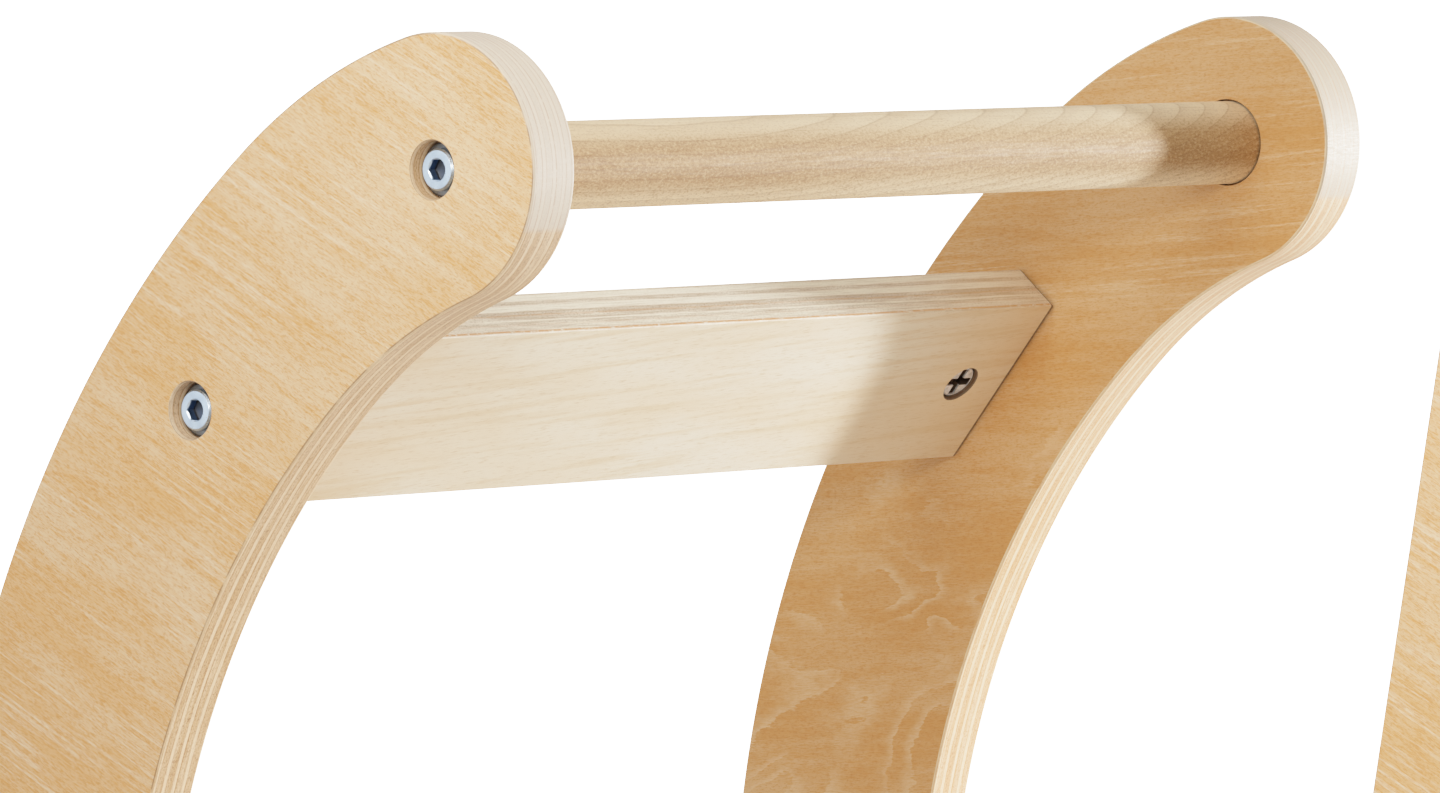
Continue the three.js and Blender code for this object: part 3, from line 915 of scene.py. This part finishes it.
def bolt_bore():
    """Cutter for a bolt's bore, the board's end at z = 0 and the board above it."""
    return turned([
        (0, -OVERCUT), (CLEARANCE_RADIUS, -OVERCUT), (CLEARANCE_RADIUS, BORE_DEPTH),
        (0, BORE_DEPTH),
    ])


def board(node, tilt, material):
    """A plywood board, its barrel nuts let in from its -Z face and its bolts through its ends."""
    low, high = span(node)
    length = high.y - low.y
    angle = math.radians(abs(tilt))
    width = (high.x - low.x - SHEET * math.sin(angle)) / math.cos(angle)
    to_seesaw = at(*middle(node)) @ turn(-tilt, "Y")
    nut_holes, bolt_bores = [], []
    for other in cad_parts:
        if other.startswith(f"barrel_nut_{node}_"):
            nut = to_seesaw.inverted() @ middle(other)
            nut_holes.append((nut_hole(), at(nut.x, nut.y, -SHEET / 2)))
            end = math.copysign(length / 2, nut.y)
            inward = turn(math.copysign(90, nut.y), "X")
            bolt_bores.append((bolt_bore(), at(nut.x, end) @ inward))
    blank = plate(rectangle(width, length, BOARD_CORNER), SHEET, BOARD_ARRIS)
    body = carved(blank, merged(nut_holes), merged(bolt_bores))
    piece(node, body, to_seesaw, material)


# ---------------------------------------------------------------- fixings


def bolt_profile():
    """(radius, z) points of a bolt and its washer, from the top of the head to the tip."""
    washer_top = -WASHER_THICKNESS
    head_top = washer_top - BOLT_HEAD_HEIGHT
    chamfer, ease = 0.45, 0.15
    profile = [
        (0, head_top),
        (BOLT_HEAD_RADIUS - chamfer - ease, head_top),
        (BOLT_HEAD_RADIUS - chamfer, head_top + ease / 3),
        (BOLT_HEAD_RADIUS - ease, head_top + chamfer),
        (BOLT_HEAD_RADIUS, head_top + chamfer + ease),
        (BOLT_HEAD_RADIUS, washer_top - ease),
        (BOLT_HEAD_RADIUS - ease, washer_top),
        (WASHER_RADIUS - ease, washer_top),
        (WASHER_RADIUS, washer_top + ease),
        (WASHER_RADIUS, -ease),
        (WASHER_RADIUS - ease, 0),
        (BOLT_RADIUS, 0),
    ]
    tip = 1.0
    threads = int(THREADED_LENGTH / THREAD_PITCH)
    first = BOLT_LENGTH - tip - threads * THREAD_PITCH
    for index in range(threads):
        z = first + index * THREAD_PITCH
        profile += [(BOLT_RADIUS, z), (BOLT_RADIUS - THREAD_DEPTH, z + THREAD_PITCH / 2)]
    profile += [(BOLT_RADIUS, BOLT_LENGTH - tip), (BOLT_RADIUS - tip, BOLT_LENGTH)]
    return [*profile, (0, BOLT_LENGTH)]


def bolt_mesh():
    """Hex-socket bolt along +Z with its washer's underside at z = 0."""
    head_top = -WASHER_THICKNESS - BOLT_HEAD_HEIGHT
    hex_radius = HEX_ACROSS_FLATS / 2 / math.cos(math.pi / 6)
    drill_tip, mouth_chamfer = 0.8, 0.35
    socket = turned([
        (0, head_top - OVERCUT),
        (hex_radius, head_top - OVERCUT),
        (hex_radius, head_top + HEX_DEPTH),
        (0, head_top + HEX_DEPTH + drill_tip),
    ], 6)
    mouth = turned([
        (0, head_top - OVERCUT),
        (hex_radius + OVERCUT, head_top - OVERCUT),
        (hex_radius - mouth_chamfer, head_top + mouth_chamfer),
        (0, head_top + mouth_chamfer),
    ])
    return carved(turned(bolt_profile()), socket, mouth)


def barrel_nut_mesh():
    """Cross-slotted barrel nut along Z for a board whose middle plane is z = 0."""
    slotted = BARREL_BELOW_FACE - SHEET / 2
    back = slotted + BARREL_LENGTH
    chamfer = 0.35
    body = turned([
        (0, slotted),
        (BARREL_RADIUS - chamfer, slotted),
        (BARREL_RADIUS, slotted + chamfer),
        (BARREL_RADIUS, back - chamfer),
        (BARREL_RADIUS - chamfer, back),
        (0, back),
    ])
    bore = turned([
        (0, -2 * BARREL_RADIUS), (THREAD_BORE, -2 * BARREL_RADIUS),
        (THREAD_BORE, 2 * BARREL_RADIUS), (0, 2 * BARREL_RADIUS),
    ])
    bore.transform(turn(90, "X"))
    cutters = [bore]
    for x_size, y_size in ((SLOT_LENGTH, SLOT_WIDTH), (SLOT_WIDTH, SLOT_LENGTH)):
        slot = block(x_size, y_size, 2 * SLOT_DEPTH)
        slot.transform(at(z=slotted))
        cutters.append(slot)
    return carved(body, *cutters)


def insert_mesh():
    """Knurled threaded insert along +Z with its outer end at z = 0."""
    ridge, pitch = 0.35, 1.3
    profile = [(THREAD_BORE, 0), (INSERT_RADIUS, 0)]
    for index in range(int(INSERT_LENGTH / pitch) - 1):
        z = (index + 1) * pitch
        profile += [(INSERT_RADIUS, z - ridge), (INSERT_RADIUS - ridge, z),
                    (INSERT_RADIUS, z + ridge)]
    profile += [(INSERT_RADIUS, INSERT_LENGTH), (THREAD_BORE, INSERT_LENGTH)]
    return turned(profile, closed=True)


def inward_place(node, distance_out):
    """For a fixing drawn along +Z: points it into the seesaw, z = 0 at distance_out from y = 0."""
    spot = middle(node)
    sign = math.copysign(1, spot.y)
    return at(spot.x, sign * distance_out, spot.z) @ turn(90 * sign, "X")


def fixings(bolt_finish, nut_finish):
    outer_face = span("side_panel_far")[1].y
    bolt, barrel_nut, insert = bolt_mesh(), barrel_nut_mesh(), insert_mesh()
    for node in sorted(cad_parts):
        if node.startswith("bolt_"):
            place = inward_place(node, outer_face - WASHER_SEAT)
            piece(node, bolt.copy(), place, bolt_finish)
        elif node.startswith("insert_nut_"):
            low, high = span(node)
            place = inward_place(node, max(abs(low.y), abs(high.y)))
            piece(node, insert.copy(), place, nut_finish)
        elif node.startswith("barrel_nut_"):
            tilt = next((t for name, t in SLAT_TILTS.items() if name in node), 0.0)
            place = at(*middle(node)) @ turn(-tilt, "Y") @ at(z=CAD_NUT_TO_BOARD_MIDDLE)
            piece(node, barrel_nut.copy(), place, nut_finish)


# ---------------------------------------------------------------- studio


def studio_floor():
    """A pale round floor, large enough for the seesaw's shadow."""
    bm = bmesh.new()
    bmesh.ops.create_circle(bm, cap_ends=True, radius=FLOOR_RADIUS, segments=128)
    mesh = mesh_from(bm)
    floor = bpy.data.objects.new("studio_floor", mesh)
    bpy.context.scene.collection.objects.link(floor)
    paper = Finish("paper")
    tint = paper.noise((300, 300, 300), seed=61)
    mesh.materials.append(paper.paint(paper.mix(tint, *PAPER_GREYS), roughness=0.9))


def studio_world(backdrop, mirrored, ambient, tint):
    """A white backdrop for the camera, less of it in reflections, and a softer ambient light."""
    world = bpy.data.worlds.new("studio")
    bpy.context.scene.world = world
    world.use_nodes = True
    tree = world.node_tree
    tree.nodes.clear()
    path = tree.nodes.new("ShaderNodeLightPath")
    out = tree.nodes.new("ShaderNodeOutputWorld")

    def background(colour, strength):
        made = tree.nodes.new("ShaderNodeBackground")
        made.inputs["Color"].default_value = (*colour, 1)
        made.inputs["Strength"].default_value = strength
        return made.outputs[0]

    def choice(question, no, yes):
        made = tree.nodes.new("ShaderNodeMixShader")
        for source, socket in zip((path.outputs[question], no, yes), made.inputs):
            tree.links.new(source, socket)
        return made.outputs[0]

    white = (1, 1, 1)
    light = choice("Is Glossy Ray", background(tint, ambient), background(white, mirrored))
    seen = choice("Is Camera Ray", light, background(white, backdrop))
    tree.links.new(seen, out.inputs[0])


def aim(thing, direction):
    thing.rotation_mode = "QUATERNION"
    thing.rotation_quaternion = Vector(direction).to_track_quat("-Z", "Y")


def lamp(name, kind, strength, colour):
    """Adds a light and gives its data and its object."""
    data = bpy.data.lights.new(name, kind)
    data.energy = strength
    data.color = colour
    made = bpy.data.objects.new(name, data)
    bpy.context.scene.collection.objects.link(made)
    return data, made


def sun(name, elevation, soft_degrees, strength, colour):
    """A distant light that comes from the +Y side."""
    data, made = lamp(name, "SUN", strength, colour)
    data.angle = math.radians(soft_degrees)
    height = math.radians(elevation)
    aim(made, (0, -math.cos(height), -math.sin(height)))


def softbox(name, place, target, size, power, colour, spread=180):
    data, made = lamp(name, "AREA", power, colour)
    data.shape = "SQUARE"
    data.size = size
    data.spread = math.radians(spread)
    made.location = place
    aim(made, Vector(target) - Vector(place))


def tone_curve(white, strength):
    """A soft shoulder, as film has: highlights pale gently instead of clipping."""
    settings = bpy.context.scene.view_settings
    settings.view_transform = "Standard"
    settings.use_curve_mapping = True
    mapping = settings.curve_mapping
    mapping.white_level = (white, white, white)
    all_channels = mapping.curves[3]
    steps = 10
    top = 1 - math.exp(-strength * white)
    for step in range(1, steps):
        x = (step / steps) ** 2
        all_channels.points.new(x, (1 - math.exp(-strength * white * x)) / top)
    mapping.update()


def camera():
    """Looks down slightly at the left horn from the front right, through a long lens."""
    azimuth, elevation = math.radians(CAMERA_AZIMUTH), math.radians(CAMERA_ELEVATION)
    handle_axis = middle("handle_left")
    aim_point = Vector((handle_axis.x, span("side_panel_near")[0].y, handle_axis.z)) * MM
    view = Vector((
        -math.sin(azimuth) * math.cos(elevation),
        math.cos(azimuth) * math.cos(elevation),
        -math.sin(elevation),
    ))
    right = Vector((math.cos(azimuth), math.sin(azimuth), 0))
    up = right.cross(view)
    data = bpy.data.cameras.new("camera")
    data.lens = CAMERA_LENS
    data.clip_start, data.clip_end = 0.1, 100
    made = bpy.data.objects.new("camera", data)
    bpy.context.scene.collection.objects.link(made)
    sideways = CAMERA_RIGHT * right - CAMERA_DOWN * up
    made.location = aim_point + sideways - CAMERA_DISTANCE * view
    aim(made, view)
    bpy.context.scene.camera = made


# ---------------------------------------------------------------- the scene

camera()
tone_curve(white=4.0, strength=1.35)
studio_floor()
studio_world(backdrop=5.0, mirrored=1.2, ambient=0.29, tint=(1.0, 0.83, 0.63))
# the key stands behind the far panel, whose shadow falls on the far end of the handle and slat
softbox("key", place=(0.13, 1.0, 0.38), target=(-0.40, 0.15, 0.39), size=0.09, power=5.7,
        colour=(0.96, 1.0, 1.0), spread=90)
softbox("front_fill", place=(-0.28, -0.55, 0.72), target=(-0.38, -0.1, 0.40), size=0.4, power=2.1,
        colour=(1.0, 0.92, 0.81))
softbox("side_fill", place=(0.20, -0.66, 0.62), target=(-0.38, 0.0, 0.40), size=0.16, power=2.6,
        colour=(1.0, 0.89, 0.74))
sun("overhead", elevation=80, soft_degrees=40, strength=0.9, colour=(1.0, 0.90, 0.75))

rod_wood = turned_wood("turned_wood", ROD_WOOD)
board_wood = plain_board("pale_board", BOARD_WOOD)
side_panel("near", veneered_panel("veneer_near", NEAR_VENEER))
side_panel("far", veneered_panel("veneer_far_partly_shaded", FAR_VENEER_PARTLY_SHADED))
for handle_node in ("handle_left", "handle_centre", "handle_right"):
    handle(handle_node, rod_wood)
for board_node in ("seat_board_left", "seat_board_right", "foot_board"):
    board(board_node, 0.0, board_wood)
for slat_node, slat_tilt in SLAT_TILTS.items():
    board(slat_node, slat_tilt, board_wood)
fixings(zinc_steel("zinc_steel", ZINC), nut_steel("nut_steel", NUT_METAL))
